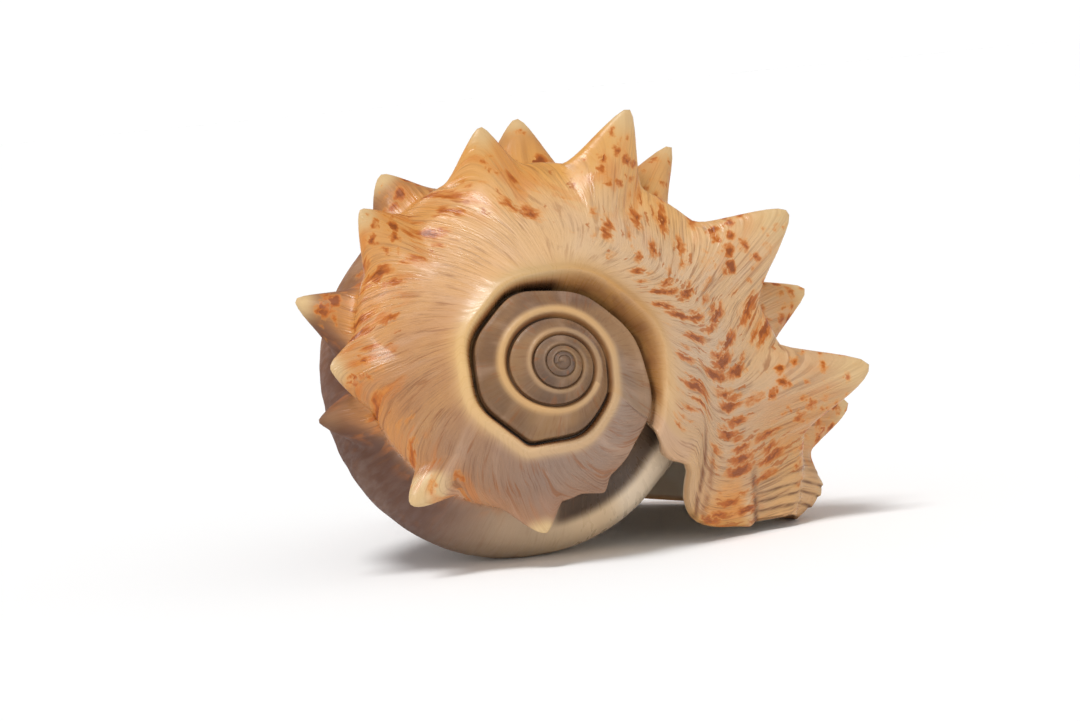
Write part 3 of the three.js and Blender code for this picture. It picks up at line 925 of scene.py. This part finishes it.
# Flecks with a soft halo and a darker heart
fleck_amount = attribute(tree, "fleck")
along_growth = spots(where, fleck_amount, *LARGE_FLECKS)
on_spines = spots(in_space, attribute(tree, "spine_fleck"), *SPINE_FLECKS)
large = combine(tree, "MAXIMUM", along_growth, on_spines)
small = spots(where, fleck_amount, *SMALL_FLECKS)
for depth, low, high, strength, tone in (
    (large, -0.25, 0.1, 0.6, HALO_TONE),
    (small, -0.05, 0.1, 0.75, SMALL_FLECK_TONE),
    (large, -0.1, 0.16, 0.9, FLECK_TONE),
    (large, 0.12, 0.32, 0.75, FLECK_HEART_TONE),
):
    cover = sharpen(tree, depth, low, high, 0.0, strength)
    paint = mixed(tree, cover, paint, colour(tone))

# Lines by the lip: two beside the margin, the crease and the edges of the lamellae
lip_at = add_node(tree, "ShaderNodeSeparateXYZ", {0: attribute(tree, "lip_lines", "Vector")})
line_gaps = marking(*LIP_LINE_GAPS)
side = lip_at.outputs["X"]
side_amount = attribute(tree, "lip_side")
second = combine(tree, "SUBTRACT", side, SECOND_LINE_AWAY)
to_edge = combine(tree, "PINGPONG", lip_at.outputs["Z"], 0.5)
for distance, width, amount, strength, tone in (
    (side, 0.1, side_amount, 1.0, SIDE_LINE_TONE),
    (second, 0.1, side_amount, 0.8, SECOND_LINE_TONE),
    (lip_at.outputs["Y"], 0.11, attribute(tree, "crease"), 1.0, CREASE_TONE),
    (to_edge, 0.24, attribute(tree, "lamella"), 1.0, LAMELLA_TONE),
):
    away = add_node(tree, "ShaderNodeMath", {0: distance}, operation="ABSOLUTE").outputs[0]
    line = times(sharpen(tree, away, 0.0, width, 1.0, 0.0), line_gaps)
    cover = times(times(line, amount), strength)
    paint = mixed(tree, cover, paint, colour(tone))
tree.links.new(paint, surface.inputs["Base Color"])

# Gloss, duller where the surface is worn, and fine growth lines in relief
polish_amount = attribute(tree, "polish")
dull = sharpen(tree, polish_amount, 0.1, 0.9, DULL, 0.0)
tree.links.new(combine(tree, "ADD", marking(*ROUGHNESS), dull), surface.inputs["Roughness"])
tree.links.new(times(polish_amount, COAT), surface.inputs["Coat Weight"])
surface.inputs["Specular IOR Level"].default_value = SPECULAR
surface.inputs["Coat Roughness"].default_value = COAT_ROUGHNESS
bump = add_node(
    tree,
    "ShaderNodeBump",
    {
        "Height": noise(tree, where, *RELIEF),
        "Strength": times(attribute(tree, "relief"), RELIEF_STRENGTH),
        "Distance": RELIEF_DEPTH,
    },
)
tree.links.new(bump.outputs[0], surface.inputs["Normal"])
mesh.materials.append(shell_material)

shell = bpy.data.objects.new("shell_surface", mesh)
bpy.context.scene.collection.objects.link(shell)
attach(shell, "root")
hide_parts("shell")

# The floor
FLOOR = 6.0
PAPER_GRAIN = 40.0
PAPER_TONES = (254, 254, 254), (252, 252, 252)
PAPER_ROUGHNESS = 0.9
floor_mesh = bpy.data.meshes.new("floor")
floor_corners = [(-FLOOR, -FLOOR, 0), (FLOOR, -FLOOR, 0), (FLOOR, FLOOR, 0), (-FLOOR, FLOOR, 0)]
floor_mesh.from_pydata(floor_corners, [], [(0, 1, 2, 3)])
floor_material, paper, paper_surface = new_material("floor_paper")
grain = add_node(paper, "ShaderNodeTexNoise", {"Scale": PAPER_GRAIN, "Detail": 3.0}).outputs["Fac"]
paper_colour = mixed(paper, grain, colour(PAPER_TONES[0]), colour(PAPER_TONES[1]))
paper.links.new(paper_colour, paper_surface.inputs["Base Color"])
paper_surface.inputs["Roughness"].default_value = PAPER_ROUGHNESS
floor_mesh.materials.append(floor_material)
floor = bpy.data.objects.new("floor", floor_mesh)
bpy.context.scene.collection.objects.link(floor)

# Light: a room that is bright low down, a soft sun from above, and a weak light from low on the right
ROOM_BRIGHTNESS = 1.02, 0.36
ROOM_HEIGHTS = 0.15, 0.6
SUN_STRENGTH = 2.0
SUN_SPREAD = math.radians(22)
SUN_DIRECTION = Vector((0.25, 0.27, -0.93))
FILL_POWER = 0.45
FILL_SIZE = 0.3
FILL_PLACE = Vector((0.28, -0.6, 0.1))
FILL_AIM = Vector((0.01, -0.02, 0.02))

world = bpy.data.worlds.new("studio")
world.use_nodes = True
sky = world.node_tree
direction = add_node(sky, "ShaderNodeTexCoord").outputs["Generated"]
height = add_node(sky, "ShaderNodeSeparateXYZ", {0: direction}).outputs["Z"]
background = sky.nodes["Background"]
background.inputs["Color"].default_value = (1, 1, 1, 1)
sky.links.new(sharpen(sky, height, *ROOM_HEIGHTS, *ROOM_BRIGHTNESS), background.inputs["Strength"])
bpy.context.scene.world = world
bpy.context.scene.view_settings.view_transform = "Standard"

sun = bpy.data.lights.new("key", "SUN")
sun.energy = SUN_STRENGTH
sun.angle = SUN_SPREAD
key = bpy.data.objects.new("key", sun)
key.rotation_euler = SUN_DIRECTION.to_track_quat("-Z", "Y").to_euler()
bpy.context.scene.collection.objects.link(key)

fill = bpy.data.lights.new("fill", "AREA")
fill.energy = FILL_POWER
fill.size = FILL_SIZE
low = bpy.data.objects.new("fill", fill)
low.location = FILL_PLACE
low.rotation_euler = (FILL_AIM - low.location).to_track_quat("-Z", "Y").to_euler()
bpy.context.scene.collection.objects.link(low)

# The camera, rolled with the photograph, where the apex lies a little right of and above the middle
SENSOR_WIDTH = 36.0
LENS = 140.0
NEAREST = 0.05
CAMERA_DISTANCE = 700
PIXELS_PER_MM = 6
APEX_PIXELS_RIGHT = 25
APEX_PIXELS_UP = 0.5

camera_data = bpy.data.cameras.new("camera")
camera_data.sensor_width = SENSOR_WIDTH
camera_data.lens = LENS
camera_data.clip_start = NEAREST
camera = bpy.data.objects.new("camera", camera_data)
right, away, up = (view_turn @ Vector(axis) for axis in ((1, 0, 0), (0, 1, 0), (0, 0, 1)))
spot = Vector(APEX) - right * (APEX_PIXELS_RIGHT / PIXELS_PER_MM) - up * (APEX_PIXELS_UP / PIXELS_PER_MM)
spot = spot - away * CAMERA_DISTANCE
axes = Matrix((right, up, -away)).transposed().to_4x4()
camera.matrix_world = Matrix.Translation(spot * MM) @ axes
bpy.context.scene.collection.objects.link(camera)
bpy.context.scene.camera = camera

bpy.context.view_layer.update()
